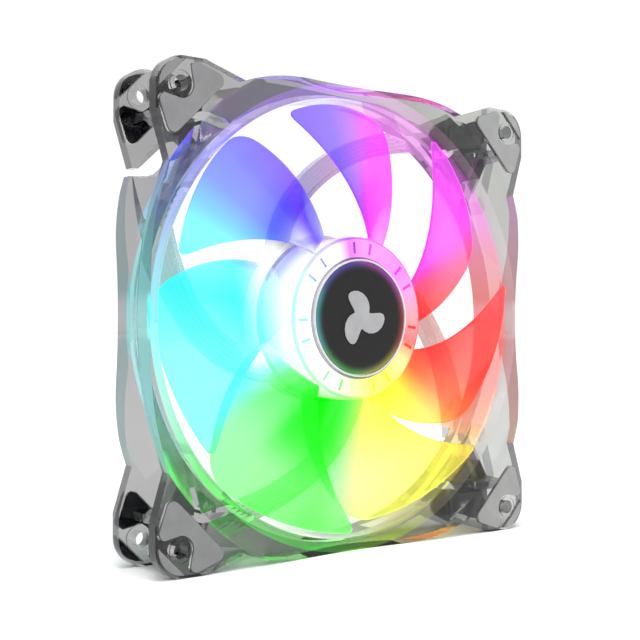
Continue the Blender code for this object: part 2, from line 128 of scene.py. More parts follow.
PAST = 13.0                            # cutters run on to here, past the faces
OUTSIDE_R = 110.0                      # past the corners of the frame
CORNERS = {"tl": (-1, 1), "tr": (1, 1), "bl": (-1, -1), "br": (1, -1)}
STRUT_ANGLES = {"a": 83, "cable": 173, "c": 263, "d": 353}
LAMPS = 8
WELD = 0.002                           # corners closer than this are joined after a Boolean
ROUND_STEPS = 216
HUB_STEPS = 128
PIN_STEPS = 32


# ---------------------------------------------------------------- camera, lights and floor

def make_camera():
    """The photo's view, solved from the frame's own edges."""
    data = bpy.data.cameras.new("camera")
    data.sensor_width = 36.0
    data.lens = 63.42
    data.clip_start, data.clip_end = 0.01, 20.0
    camera = bpy.data.objects.new("camera", data)
    bpy.context.scene.collection.objects.link(camera)
    camera.location = (-0.2145, -0.2729, -0.0039)
    camera.rotation_mode = "QUATERNION"
    camera.rotation_quaternion = Vector((0.6064, 0.7951, 0.0098)).to_track_quat("-Z", "Y")
    bpy.context.scene.camera = camera


def make_world():
    """White all round, a little greyer overhead so that edges read."""
    world = bpy.data.worlds.new("studio")
    world.use_nodes = True
    tree = world.node_tree
    background = tree.nodes["Background"]
    place = tree.nodes.new("ShaderNodeTexCoord")
    split = tree.nodes.new("ShaderNodeSeparateXYZ")
    ramp = tree.nodes.new("ShaderNodeValToRGB")
    ramp.color_ramp.elements[0].position = 0.45
    ramp.color_ramp.elements[0].color = (1, 1, 1, 1)
    ramp.color_ramp.elements[1].position = 0.95
    ramp.color_ramp.elements[1].color = (0.55, 0.56, 0.58, 1)
    tree.links.new(place.outputs["Generated"], split.inputs[0])
    tree.links.new(split.outputs["Z"], ramp.inputs[0])
    tree.links.new(ramp.outputs[0], background.inputs["Color"])
    background.inputs["Strength"].default_value = 1.04
    bpy.context.scene.world = world
    bpy.context.scene.view_settings.view_transform = "Standard"


def make_light(name, location, size, energy):
    """A disc-shaped light that faces the fan's centre."""
    data = bpy.data.lights.new(name, "AREA")
    data.shape = "DISK"
    data.size = size
    data.energy = energy
    light = bpy.data.objects.new(name, data)
    bpy.context.scene.collection.objects.link(light)
    light.location = location
    light.rotation_mode = "QUATERNION"
    light.rotation_quaternion = (-Vector(location)).to_track_quat("-Z", "Y")


def make_sun():
    """Broad overhead light that keeps the floor white out to the horizon."""
    data = bpy.data.lights.new("sun", "SUN")
    data.energy = 1.4
    data.angle = math.radians(24)
    sun = bpy.data.objects.new("sun", data)
    bpy.context.scene.collection.objects.link(sun)
    sun.rotation_euler = (math.radians(12), math.radians(-8), 0)


def make_floor():
    """A wide white floor under the lower feet."""
    bm = bmesh.new()
    bmesh.ops.create_grid(bm, x_segments=1, y_segments=1, size=6.0)
    bmesh.ops.translate(bm, vec=(0, 0, cad_box[0][2]), verts=bm.verts)
    mesh = bpy.data.meshes.new("floor")
    bm.to_mesh(mesh)
    bm.free()
    floor = bpy.data.objects.new("floor", mesh)
    bpy.context.scene.collection.objects.link(floor)
    material = bpy.data.materials.new("floor")
    material.use_nodes = True
    shader = material.node_tree.nodes["Principled BSDF"]
    shader.inputs["Base Color"].default_value = (0.97, 0.97, 0.97, 1)
    shader.inputs["Roughness"].default_value = 0.9
    shader.inputs["Specular IOR Level"].default_value = 0.1
    mesh.materials.append(material)


# ---------------------------------------------------------------- node materials

def linear(*rgb):
    """A colour given as 0 to 255 in sRGB, as Blender's linear colour."""
    def straight(channel):
        return channel / 12.92 if channel <= 0.04045 else ((channel + 0.055) / 1.055) ** 2.4

    return (*[straight(value / 255) for value in rgb], 1.0)


# Light of the lamp ring round the axis, as (degrees, sRGB): on the blades, the hub's face and
# the lip of the duct.
GLOW = ((0, (253, 88, 90)), (10, (253, 112, 118)), (20, (253, 118, 165)), (30, (254, 115, 238)),
        (45, (253, 98, 254)), (78, (246, 108, 252)), (89, (184, 122, 251)), (98, (142, 118, 246)),
        (110, (134, 108, 252)), (125, (130, 125, 255)), (141, (128, 148, 255)),
        (150, (122, 192, 253)), (160, (128, 250, 250)), (172, (88, 250, 250)),
        (190, (130, 254, 250)), (202, (130, 253, 252)), (211, (125, 252, 222)),
        (219, (140, 255, 155)), (235, (140, 254, 142)), (255, (110, 255, 105)),
        (270, (158, 255, 155)), (279, (230, 254, 145)), (290, (254, 254, 130)),
        (306, (254, 254, 110)), (318, (253, 232, 110)), (329, (253, 145, 95)),
        (340, (250, 108, 96)), (360, (253, 88, 90)))
HUB_GLOW = ((0, (252, 150, 156)), (20, (250, 152, 198)), (40, (246, 130, 248)),
            (62, (250, 140, 250)), (85, (246, 145, 248)), (101, (214, 118, 238)),
            (116, (250, 250, 248)), (240, (248, 252, 248)), (262, (208, 250, 172)),
            (280, (253, 253, 118)), (302, (252, 252, 95)), (319, (250, 238, 150)),
            (340, (240, 112, 110)), (360, (252, 150, 156)))
LIP_GLOW = ((0, (190, 158, 162)), (20, (184, 180, 181)), (40, (176, 166, 173)),
            (60, (178, 142, 162)), (80, (200, 162, 202)), (100, (170, 120, 236)),
            (120, (170, 136, 240)), (140, (134, 132, 240)), (160, (140, 170, 240)),
            (180, (92, 246, 246)), (200, (140, 232, 188)), (220, (72, 234, 68)),
            (240, (100, 244, 92)), (260, (78, 244, 66)), (280, (172, 216, 52)),
            (300, (160, 146, 118)), (320, (160, 155, 150)), (340, (182, 178, 178)),
            (360, (190, 158, 162)))


class Look:
    """A Principled material with short calls for the nodes that drive it.

    Its x, y and z are world places in millimetres, like the driving dimensions.
    """

    def __init__(self, name, **values):
        self.material = bpy.data.materials.new(name)
        self.material.use_nodes = True
        self.tree = self.material.node_tree
        self.shader = self.tree.nodes["Principled BSDF"]
        self.set(**values)
        self.place = self.tree.nodes.new("ShaderNodeTexCoord").outputs["Object"]
        world = self.tree.nodes.new("ShaderNodeNewGeometry").outputs["Position"]
        scaled = self.tree.nodes.new("ShaderNodeVectorMath")
        scaled.operation = "SCALE"
        scaled.inputs["Scale"].default_value = 1 / MM
        self.tree.links.new(world, scaled.inputs[0])
        self.x, self.y, self.z = self.split(scaled.outputs[0])

    def split(self, vector):
        node = self.tree.nodes.new("ShaderNodeSeparateXYZ")
        self.tree.links.new(vector, node.inputs[0])
        return node.outputs

    def set(self, **values):
        """Set or link the shader's inputs, named with underscores for spaces."""
        for name, value in values.items():
            self.put(self.shader.inputs[name.replace("_", " ")], value)

    def put(self, socket, value):
        """Link a socket to another, or give it a plain value."""
        if isinstance(value, bpy.types.NodeSocket):
            self.tree.links.new(value, socket)
        else:
            socket.default_value = value

    def math(self, operation, *values):
        """One sum of the shader's, by the Math node's own name for it."""
        node = self.tree.nodes.new("ShaderNodeMath")
        node.operation = operation
        for socket, value in zip(node.inputs, values):
            self.put(socket, value)
        return node.outputs[0]

    def radius(self):
        """Distance from the rotor's axis."""
        squares = [self.math("MULTIPLY", side, side) for side in (self.x, self.z)]
        return self.math("SQRT", self.math("ADD", *squares))

    def turn(self):
        """Angle round the axis, from 0 to 1."""
        angle = self.math("ARCTAN2", self.z, self.x)
        return self.math("FRACT", self.math("ADD", self.math("DIVIDE", angle, 2 * math.pi), 1.0))

    def tilt(self):
        """How squarely the surface faces along the rotor's axis, from 0 to 1."""
        normal = self.tree.nodes.new("ShaderNodeNewGeometry").outputs["True Normal"]
        return self.math("ABSOLUTE", self.split(normal)["Y"])

    def step(self, value, low, high, start=0.0, end=1.0):
        """Runs from start to end as value runs from low to high."""
        node = self.tree.nodes.new("ShaderNodeMapRange")
        node.interpolation_type = "SMOOTHSTEP"
        for socket, given in zip(node.inputs[:5], (value, low, high, start, end)):
            self.put(socket, given)
        return node.outputs[0]

    def fade(self, value, low, high):
        """1 below low, falling to 0 at high."""
        return self.step(value, low, high, 1.0, 0.0)

    def ramp(self, factor, stops):
        """A colour ramp through (position, colour) stops, of which the first and last are its ends."""
        node = self.tree.nodes.new("ShaderNodeValToRGB")
        bar = node.color_ramp.elements
        bar[0].color, bar[1].color = stops[0][1], stops[-1][1]
        for position, color in stops[1:-1]:
            bar.new(position).color = color
        self.put(node.inputs[0], factor)
        return node.outputs[0]

    def glow(self, stops=GLOW):
        """The lamps' light round the axis."""
        return self.ramp(self.turn(), [(angle / 360, linear(*rgb)) for angle, rgb in stops])

    def times(self, *values):
        result = values[0]
        for value in values[1:]:
            result = self.math("MULTIPLY", result, value)
        return result

    def band(self, value, low, high, soft=0.3):
        """1 between low and high, falling to 0 over the soft distance outside."""
        return self.times(self.step(value, low - soft, low), self.fade(value, high, high + soft))

    def mix(self, share, a, b, blend="MIX"):
        node = self.tree.nodes.new("ShaderNodeMix")
        node.data_type = "RGBA"
        node.blend_type = blend
        sockets = (node.inputs[0], node.inputs[6], node.inputs[7])
        for socket, value in zip(sockets, (share, a, b)):
            self.put(socket, value)
        return node.outputs[2]

    def noise(self, scale, detail=3.0, rough=0.5, stretch=None):
        node = self.tree.nodes.new("ShaderNodeTexNoise")
        place = self.place
        if stretch:
            mapping = self.tree.nodes.new("ShaderNodeMapping")
            mapping.inputs["Scale"].default_value = stretch
            self.put(mapping.inputs[0], place)
            place = mapping.outputs[0]
        given = {"Vector": place, "Scale": scale, "Detail": detail, "Roughness": rough}
        for socket, value in given.items():
            self.put(node.inputs[socket], value)
        return node.outputs[0]

    def grain(self, noise, low, high):
        """A value that wanders between low and high with the noise."""
        return self.step(noise, 0.3, 0.7, low, high)

    def bump(self, height, strength, depth):
        """Bump the shader's normal. The depth is in metres."""
        node = self.tree.nodes.new("ShaderNodeBump")
        for socket, value in (("Height", height), ("Strength", strength), ("Distance", depth)):
            self.put(node.inputs[socket], value)
        self.put(self.shader.inputs["Normal"], node.outputs[0])

    def vary(self, color, scale, amount):
        """The colour, a little lighter and darker over the surface."""
        shade = self.grain(self.noise(scale), 1 - amount, 1 + amount)
        return self.mix(1.0, color, self.grey(shade), "MULTIPLY")

    def grey(self, value):
        """A value as a grey colour."""
        node = self.tree.nodes.new("ShaderNodeCombineColor")
        for socket in node.inputs:
            self.put(socket, value)
        return node.outputs[0]


def smoke_color(look, radius):
    """Smoke grey, with painted shade towards -X, on the ribs, in the funnel before them and on the
    edges of the plates, and painted lamp light on the middle of each side.
    """
    # Painted shade: the one smoke grey is darker towards -X and lighter towards +X.
    smoke = look.mix(look.step(look.x, -50, 50), linear(170, 169, 169), linear(190, 192, 188))
    smoke = look.vary(smoke, 35.0, 0.02)

    ribs = [look.band(look.math("ABSOLUTE", side), RIB_LOW, RIB_HIGH) for side in (look.x, look.z)]
    rib = look.math("MAXIMUM", *ribs)
    funnel = look.times(look.band(radius, LIP_R + 0.1, FUNNEL_R + 0.2),
                        look.fade(look.y, -EAR_INNER - 0.5, -EAR_INNER - 0.1))
    # Painted shade on the front funnel, strongest towards -X.
    funnel_shade = look.times(funnel, look.step(look.x, 10, 45, 0.7, 0.1))
    smoke = look.mix(funnel_shade, smoke, linear(128, 128, 132))
    between = look.times(look.step(radius, BORE_R - 1.8, BORE_R - 0.8),
                         look.fade(look.math("ABSOLUTE", look.y), EAR_INNER + 0.1, EAR_INNER + 0.5))
    # Painted shade where the ribs show in the funnel and in the bore between the plates.
    rib_shade = look.times(rib, look.math("MAXIMUM", funnel, between))
    smoke = look.mix(rib_shade, smoke, linear(120, 120, 122))

    # Painted shade: the plates' side walls outside the lip are dark grey, standing in for the dark
    # edges that reflections give. Painted lamp light lies on the middle of each side, more towards +X.
    edge = look.times(look.fade(look.tilt(), 0.25, 0.6),
                      look.step(radius, LIP_R - 0.1, LIP_R + 0.6))
    notch_r = math.hypot(NOTCH, NOTCH_DROP)
    bulge = look.fade(radius, notch_r - 0.3, notch_r + 0.2)
    side_glow = look.times(bulge, look.step(look.x, -50, 60, 0.12, 0.32))
    painted_rim = look.mix(side_glow, linear(66, 66, 70), look.glow())
    return look.mix(look.times(edge, 0.92), smoke, painted_rim)


def smoke_clear():
    """Polished smoke-grey polycarbonate, with the lamps' light painted round the duct and beside the
    motor base.
    """
    look = Look("smoked_clear", Transmission_Weight=1.0, IOR=1.14, Coat_Weight=0.7, Coat_Roughness=0.04)
    radius = look.radius()
    lip_front, lip_rear = -LIP_Y + 0.3, -LIP_Y + LIP_DEEP
    # Painted lamp light, in colour and emission, on the lip and on the bore behind it.
    lip = look.times(look.band(radius, BORE_R + 0.1, LIP_R + 0.2),
                     look.fade(look.y, lip_front, lip_rear))
    bore = look.times(look.band(radius, BORE_R - 0.8, BORE_R + 0.5),
                      look.step(look.y, lip_front, lip_rear, 0.0, 0.75))
    duct = look.mix(bore, smoke_color(look, radius), look.glow())
    duct = look.mix(lip, duct, look.glow(LIP_GLOW))

    # Painted glow: near white and emissive on the -X side of the motor base and the frame out to 34 mm.
    base = look.fade(radius, BASE_R, 34.0)
    painted_glow_side = look.band(look.turn(), 0.38, 0.58, 0.06)
    painted_white_glow = look.mix(look.times(base, painted_glow_side), duct, linear(246, 250, 252))
    # Faint painted lamp light over the struts and the frame from 27 mm out to the duct wall.
    strut = look.times(look.step(radius, 27.0, 40.0), look.step(radius, 64.0, 66.0, 0.28, 0.0))
    look.set(Base_Color=look.mix(strut, painted_white_glow, look.glow()))
    look.set(Roughness=look.step(look.noise(220.0, 4), 0.35, 0.75, 0.02, 0.06))
    lit = look.mix(lip, look.glow(), look.glow(LIP_GLOW))
    look.set(Emission_Color=look.mix(base, lit, linear(240, 252, 255)))
    duct_painted_glow = look.math("MAXIMUM", look.times(lip, 0.2), look.times(bore, 0.25))
    base_painted_glow = look.times(base, painted_glow_side, 0.35)
    look.set(Emission_Strength=look.math("MAXIMUM", duct_painted_glow, base_painted_glow))
    look.bump(look.noise(60.0, 2), 0.06, 0.0002)
    return look.material


def hub_color(look, radius):
    """The hub's face, with painted lamp light that is stronger on its edge, in its slots and down its
    side wall, and a painted shade ring at the disc's seat.
    """
    front = look.fade(look.y, HUB_FRONT + 1.1, HUB_FRONT + 1.5)
    edge = look.times(look.band(radius, HUB_R - 0.6, HUB_R + 0.2), front)
    half = SLOT_LONG / 2 + 0.2
    slot = look.times(look.band(radius, SLOT_AT - half, SLOT_AT + half), front,
                      look.step(look.y, HUB_FRONT + 0.05, HUB_FRONT + 0.2))
    wall = look.times(look.step(radius, HUB_R - 0.6, HUB_R - 0.2), look.math("SUBTRACT", 1.0, front),
                      look.step(look.y, -5, 4, 0.0, 0.5))
    face = look.mix(wall, look.glow(HUB_GLOW), look.glow())
    # Painted lamp light, deeper on the hub's edge and in its slots.
    deep = look.math("MAXIMUM", look.times(edge, 0.7), look.times(slot, 0.85))
    face = look.mix(deep, face, look.glow(), "MULTIPLY")
    # Painted shade in the step of the seat round the disc.
    seat = look.band(radius, SEAT_R - 0.3, SEAT_R + 0.3, 0.1)
    return look.mix(look.times(seat, 0.75), face, linear(90, 88, 92))


def blade_color(look, radius):
    """The lamps' light on the blades: strong near the hub, and nearly white on one side."""
    turn = look.turn()
    strong = look.times(look.fade(radius, 28.0, 52.0), 0.85)
    spot = look.times(look.band(turn, 0.655, 0.735, 0.03), look.fade(radius, 36.0, 54.0))
    color = look.mix(look.math("MAXIMUM", strong, spot), look.glow(), look.glow(), "MULTIPLY")
    color = look.mix(spot, color, look.glow(), "MULTIPLY")
    violet = look.times(look.band(turn, 0.30, 0.36, 0.03), look.fade(radius, 30.0, 40.0))
    color = look.mix(violet, color, linear(96, 78, 255))
    white = look.times(look.fade(radius, 25.0, 40.0), look.band(turn, 0.37, 0.56, 0.05), 0.8)
    return look.mix(white, color, linear(246, 252, 255))


def frosted_clear():
    """Frosted polycarbonate, lit from the hub by the lamp ring that stays with the frame."""
    look = Look("frosted_clear", IOR=1.16, Coat_Weight=0.3, Coat_Roughness=0.12)
    radius = look.radius()
    hub = look.fade(radius, HUB_R, HUB_R + 0.6)
    color = look.mix(hub, blade_color(look, radius), hub_color(look, radius))
    shade = look.grain(look.noise(30.0), 0.97, 1.0)
    look.set(Base_Color=look.mix(1.0, color, look.grey(shade), "MULTIPLY"))
    look.set(Transmission_Weight=look.step(hub, 0.0, 1.0, 0.97, 0.1))
    look.set(Roughness=look.grain(look.noise(400.0, 4), 0.1, 0.18))
    look.set(Emission_Color=color)
    look.set(Emission_Strength=look.step(hub, 0.0, 1.0, 0.2, 0.26))
    look.bump(look.noise(900.0, 2), 0.1, 0.0002)
    return look.material


def pad_rubber(name, left, right):
    """Moulded rubber with painted light and shade: it runs from one colour on the -X side to another on
    the +X side.
    """
    look = Look(name, Sheen_Weight=0.15, Sheen_Roughness=0.5, Specular_IOR_Level=0.35)
    # Painted shade towards -X and painted highlight towards +X on one rubber.
    color = look.mix(look.step(look.x, -50, 50), left, right)
    look.set(Base_Color=look.vary(color, 180.0, 0.06))
    look.set(Roughness=look.grain(look.noise(500.0), 0.55, 0.75))
    look.bump(look.noise(1600.0, 2), 0.25, 0.0002)
    return look.material


def badge_black():
    """Satin black disc whose rim catches the lamps' light."""
    look = Look("badge", Specular_IOR_Level=0.25)
    rise = look.step(look.radius(), 13.5, 17.5)
    painted_rim = look.times(rise, rise)
    black = look.vary(linear(24, 23, 23), 300.0, 0.08)
    look.set(Base_Color=look.mix(look.times(painted_rim, 0.25), black, look.glow()))
    look.set(Emission_Color=look.glow(), Emission_Strength=look.times(painted_rim, 0.06))
    look.set(Roughness=look.grain(look.noise(700.0), 0.3, 0.45))
    return look.material


def plain(name, color, rough, metal=0.0, grain=600.0, vary=0.06, depth=0.00005, stretch=None):
    """A moulded, cast or drawn surface: slight colour change, grain in its gloss, a fine bump."""
    look = Look(name, Metallic=metal)
    look.set(Base_Color=look.vary(color, grain / 4, vary))
    grains = look.noise(grain, 4, 0.6, stretch)
    look.set(Roughness=look.grain(grains, rough * 0.8, rough * 1.2))
    look.bump(grains, 0.3, depth)
    return look.material


def lamp(number):
    """Lens of one lamp, lit in its own colour of the ring."""
    look = Look(f"lamp_{number}", Roughness=0.2)
    look.set(Base_Color=look.glow(), Emission_Color=look.glow())
    look.set(Emission_Strength=look.grain(look.noise(500.0), 0.9, 1.2))
    return look.material


def copper_wire():
    """Enamelled winding: fine turns round each pole."""
    look = Look("copper", Metallic=0.9, Roughness=0.35)
    wave = look.tree.nodes.new("ShaderNodeTexWave")
    wave.bands_direction = "DIAGONAL"
    look.put(wave.inputs["Vector"], look.place)
    look.put(wave.inputs["Scale"], 900.0)
    look.set(Base_Color=look.mix(wave.outputs[1], linear(150, 74, 40), linear(214, 128, 84)))
    look.bump(wave.outputs[1], 0.6, 0.0002)
    return look.material


def make_materials():
    """All materials, by the names that the record's slots use."""
    drawn = (1, 12, 1)
    finishes = {
        "trim": dict(color=linear(206, 204, 212), rough=0.25),
        "emblem": dict(color=linear(158, 158, 160), rough=0.4),
        "black_plastic": dict(color=linear(26, 26, 27), rough=0.5),
        "white_plastic": dict(color=linear(228, 228, 222), rough=0.5),
        "board": dict(color=linear(232, 233, 226), rough=0.45, grain=1200.0),
        "ceramic": dict(color=linear(190, 160, 120), rough=0.5),
        "steel": dict(color=linear(190, 190, 192), rough=0.3, metal=1.0, stretch=drawn),
        "brass": dict(color=linear(214, 180, 112), rough=0.28, metal=1.0, stretch=drawn),
        "magnet": dict(color=linear(62, 60, 60), rough=0.6, metal=0.2, grain=900.0,
                       vary=0.15, depth=0.0001),
        "bronze": dict(color=linear(170, 128, 88), rough=0.5, metal=0.9, grain=1500.0,
                       vary=0.12, depth=0.0001),
        "lamination": dict(color=linear(140, 140, 146), rough=0.4, metal=0.9, grain=400.0,
                           vary=0.1, depth=0.0001, stretch=(1, 30, 1)),
        "label": dict(color=linear(206, 208, 212), rough=0.32, metal=0.6, grain=500.0,
                      vary=0.03, depth=0.00003, stretch=(14, 1, 1)),
    }
    made = {name: plain(name, **values) for name, values in finishes.items()}
    made["smoked_clear"] = smoke_clear()
    made["frosted_clear"] = frosted_clear()
    # Both pad finishes are one grey rubber with painted light and shade; the rear pads, seen through
    # the plates, are near black towards -X.
    made["pad_rubber"] = pad_rubber("pad_rubber", linear(124, 124, 125), linear(146, 147, 146))
    made["dark_rubber"] = pad_rubber("dark_rubber", linear(46, 44, 62), linear(128, 128, 130))
    made["badge"] = badge_black()
    made["copper"] = copper_wire()
    for number in range(1, LAMPS + 1):
        made[f"lamp_{number}"] = lamp(number)
    return made


# ---------------------------------------------------------------- mesh helpers

def new_object(name, bm):
    """An object made of the mesh, with its faces turned outwards."""
    bmesh.ops.recalc_face_normals(bm, faces=bm.faces)
    mesh = bpy.data.meshes.new(name)
    bm.to_mesh(mesh)
    bm.free()
    obj = bpy.data.objects.new(name, mesh)
    bpy.context.scene.collection.objects.link(obj)
    return obj


class Carving:
    """A solid built up by Booleans, whose tools are removed again once it is baked."""

    def __init__(self, name, bm):
        self.body = new_object(name, bm)
        self.tools = []

    def apply(self, bm, operation):
        tool = new_object("tool", bm)
        self.tools.append(tool)
        step = self.body.modifiers.new(operation, "BOOLEAN")
        step.operation = operation
        step.solver = "EXACT"
        step.object = tool

    def bake(self):
        """Keep the evaluated mesh, in metres, and remove the tools."""
        evaluated = self.body.evaluated_get(bpy.context.evaluated_depsgraph_get())
        mesh = bpy.data.meshes.new_from_object(evaluated)
        self.body.modifiers.clear()
        self.body.data = mesh
        for tool in self.tools:
            bpy.data.objects.remove(tool, do_unlink=True)
        bm = bmesh.new()
        bm.from_mesh(mesh)
        bmesh.ops.remove_doubles(bm, verts=bm.verts, dist=WELD)
        bmesh.ops.scale(bm, vec=(MM, MM, MM), verts=bm.verts)
        bm.to_mesh(mesh)
        bm.free()
        mesh.materials.clear()
        return self.body


def prism(bm, outline, low, high):
    """Extrude a closed (x, z) outline along Y from low to high."""
    rings = [[bm.verts.new((x, y, z)) for x, z in outline] for y in (low, high)]
    count = len(outline)
    for i in range(count):
        j = (i + 1) % count
        bm.faces.new((rings[0][i], rings[0][j], rings[1][j], rings[1][i]))
    bm.faces.new(rings[0][::-1])
    bm.faces.new(rings[1])


def turned(profile, steps, centre=(0, 0), bm=None):
    """Turn a closed (radius, y) profile about Y. Points at radius 0 become one vertex."""
    bm = bm or bmesh.new()
    angles = [2 * math.pi * k / steps for k in range(steps)]
    rings = []
    for radius, y in profile:
        if radius == 0:
            rings.append([bm.verts.new((centre[0], y, centre[1]))] * steps)
            continue
        around = [polar(radius, angle) for angle in angles]
        rings.append([bm.verts.new((centre[0] + x, y, centre[1] + z)) for x, z in around])
    for i, near in enumerate(rings):
        far = rings[(i + 1) % len(rings)]
        for k in range(steps):
            m = (k + 1) % steps
            corners = list(dict.fromkeys((near[k], near[m], far[m], far[k])))
            if len(corners) > 2:
                bm.faces.new(corners)
    return bm


def disc_profile(radius, low, high):
    """Half section of a disc or pin, for turned()."""
    return [(0, low), (radius, low), (radius, high), (0, high)]


def polar(radius, angle):
    return radius * math.cos(angle), radius * math.sin(angle)


def arc(centre, radius, start, end, steps):
    """Points of an arc from start to end, in degrees, both ends included."""
    points = []
    for k in range(steps + 1):
        x, z = polar(radius, math.radians(start + (end - start) * k / steps))
        points.append((centre[0] + x, centre[1] + z))
    return points


def mirrored(outline, corner):
    """An outline drawn in the +X +Z corner, moved to the named corner."""
    sx, sz = CORNERS[corner]
    return [(sx * x, sz * z) for x, z in outline]


def shade_smooth(obj, degrees):
    """Smooth shading, with sharp edges where faces turn by more than the angle."""
    obj.data.shade_smooth()
    obj.data.set_sharp_from_angle(angle=math.radians(degrees))


def soften(obj, width, degrees):
    """Round the edges where faces turn by more than the angle."""
    bevel = obj.modifiers.new("edges", "BEVEL")
    bevel.width = width * MM
    bevel.segments = 2
    bevel.limit_method = "ANGLE"
    bevel.angle_limit = math.radians(degrees)
    shade_smooth(obj, degrees)


# ---------------------------------------------------------------- frame

def frame_outline():
    """The side outline, one quarter turned four times."""
    reach = NOTCH - SIDE_FLAT
    drop = HALF_SIDE - NOTCH_DROP
    bow = (reach ** 2 + drop ** 2) / (2 * drop)
    swing = math.degrees(math.asin(reach / bow))
    top = arc((SIDE_FLAT, HALF_SIDE - bow), bow, 90, 90 - swing, 12)
    top.append((EAR_SHOULDER, HALF_SIDE))
    corner = HALF_SIDE - CORNER_R
    side = [(z, x) for x, z in reversed(top)]
    quarter = top + arc((corner, corner), CORNER_R, 90, 0, 20) + side
    outline = []
    for turns in range(4):
        for x, z in quarter:
            for _ in range(turns):
                x, z = z, -x
            outline.append((x, z))
    return outline


def flare_form():
    """Turned envelope: two flange plates, their flares and the duct wall between them."""
    foot, inside = WALL_R + WALL_DRAFT, 50.0
    half = [(WALL_R, 1.0), (foot, EAR_INNER - (FLARE_R - foot)), (FLARE_R, EAR_INNER),
            (OUTSIDE_R, EAR_INNER), (OUTSIDE_R, PAST), (inside, PAST)]
    return turned(half + [(r, -y) for r, y in reversed(half)], ROUND_STEPS)


def bore_cut():
    """The air path: a straight bore with a lip and a funnel at either end."""
    mouth = FUNNEL_R + (FUNNEL_R - LIP_R) / FUNNEL_DEEP * (PAST - EAR_FACE)
    half = [(0, PAST), (mouth, PAST), (LIP_R, LIP_Y), (BORE_R + 1.0, LIP_Y - 1.1),
            (BORE_R, LIP_Y - LIP_DEEP)]
    return turned([(r, -y) for r, y in half] + half[::-1], ROUND_STEPS)


def corner_ribs():
    """Crossed ribs join the front and rear ears. Only the level one reaches the duct wall."""
    low, high, overlap = RIB_LOW, RIB_HIGH, 0.5
    cross = [(RIB_WALL, low), (low, low), (low, RIB_START), (high, RIB_START), (high, low),
             (RIB_END, low), (RIB_END, high), (high, high), (high, RIB_END), (low, RIB_END),
             (low, high), (RIB_WALL, high)]
    bm = bmesh.new()
    for corner in CORNERS:
        prism(bm, mirrored(cross, corner), -EAR_INNER - overlap, EAR_INNER + overlap)
    return bm


def pad_pocket():
    """Rounded triangle with a bite round the screw boss, in the +X +Z corner."""
    tip = 2.0 + PAD_GAP
    upper = arc((57.2, 66.6), tip, 20, 100, 9) + arc((50.9, 64.4), tip, 112, 225, 12)
    lower = [(z, x) for x, z in reversed(upper)]
    bite = arc((HOLE_AT, HOLE_AT), BOSS_R + 0.7 - PAD_GAP, -68, -202, 24)
    return upper + lower + bite


def corner_pad_pocket():
    """Segment between the rounded corner and a chord just outside the screw boss."""
    centre = HALF_SIDE - CORNER_R
    radius = CORNER_R - 0.9 + PAD_GAP
    reach = 91.9 - PAD_GAP - centre * math.sqrt(2)
    swing = math.degrees(math.acos(reach / radius))
    return arc((centre, centre), radius, 45 - swing, 45 + swing, 12)


def ear_pockets(outline):
    """Shallow pockets for one kind of pad, on both faces of all four corners."""
    bm = bmesh.new()
    for corner in CORNERS:
        shape = mirrored(outline, corner)
        prism(bm, shape, -PAST, POCKET_DEEP - EAR_FACE)
        prism(bm, shape, EAR_FACE - POCKET_DEEP, PAST)
    return bm


def corner_pins(radius, *reaches):
    """Round pins at the four screw holes, between each pair of (low, high) ends."""
    bm = bmesh.new()
    for sx, sz in CORNERS.values():
        for low, high in reaches:
            turned(disc_profile(radius, low, high), PIN_STEPS, (sx * HOLE_AT, sz * HOLE_AT), bm)
    return bm


def screw_bosses():
    """Bosses through the pads' pockets, on both faces of the ears."""
    root = EAR_INNER + 1.0
    return corner_pins(BOSS_R, (-HALF_DEPTH, -root), (root, HALF_DEPTH))


def screw_holes():
    return corner_pins(HOLE_R, (-PAST - 1.0, PAST + 1.0))


def strut(middle, width):
    """A swept strut from the motor base into the duct wall, with grooves along its front face."""
    stations, chamfer, groove_deep = 40, 0.3, 0.6
    half = width / 2
    grooves, groove_half, flat = (-0.54, -0.18, 0.18, 0.54), 0.11, 0.86     # shares of half
    bm = bmesh.new()

    def centre(radius):
        """The strut's middle line, which is at the given angle 50 mm out from the axis."""
        past = radius - 50.0
        return polar(radius, math.radians(middle - 1.5 * past + 0.012 * past ** 2))

    def section(front):
        points = [(-half, EAR_FACE), (-half, front + chamfer), (-flat * half, front)]
        for at in grooves:
            left, right = (at - groove_half) * half, (at + groove_half) * half
            points += [(left, front), (at * half, front + groove_deep), (right, front)]
        return points + [(flat * half, front), (half, front + chamfer), (half, EAR_FACE)]

    rings = []
    for k in range(stations):
        part = k / (stations - 1)
        radius = STRUT_INNER_R + (STRUT_END_R - STRUT_INNER_R) * part
        x, z = centre(radius)
        ahead, behind = centre(radius + 0.1), centre(radius - 0.1)
        run = (ahead[0] - behind[0], ahead[1] - behind[1])
        size = math.hypot(*run)
        across = (-run[1] / size, run[0] / size)
        cut = section(BASE_FRONT + 0.1 - 1.2 * part ** 2)
        rings.append([bm.verts.new((x + s * across[0], y, z + s * across[1])) for s, y in cut])
    for near, far in zip(rings, rings[1:]):
        for i in range(len(near)):
            j = (i + 1) % len(near)
            bm.faces.new((near[i], near[j], far[j], far[i]))
    bm.faces.new(rings[0][::-1])
    bm.faces.new(rings[-1])
    return bm


def motor_base():
    """Shallow cup that carries the motor, with a seat for the label on its rear face."""
    tube_hole_r, rim_r, rim_front, seat_r, chamfer = 5.1, 25.0, 7.4, 22.2, 0.4
    seat = EAR_FACE - 0.6
    profile = [(tube_hole_r, BASE_FRONT), (rim_r, BASE_FRONT), (rim_r, rim_front),
               (BASE_R - chamfer, rim_front), (BASE_R, rim_front + chamfer), (BASE_R, EAR_FACE),
               (seat_r, EAR_FACE), (seat_r, seat), (tube_hole_r, seat)]
    return turned(profile, HUB_STEPS)


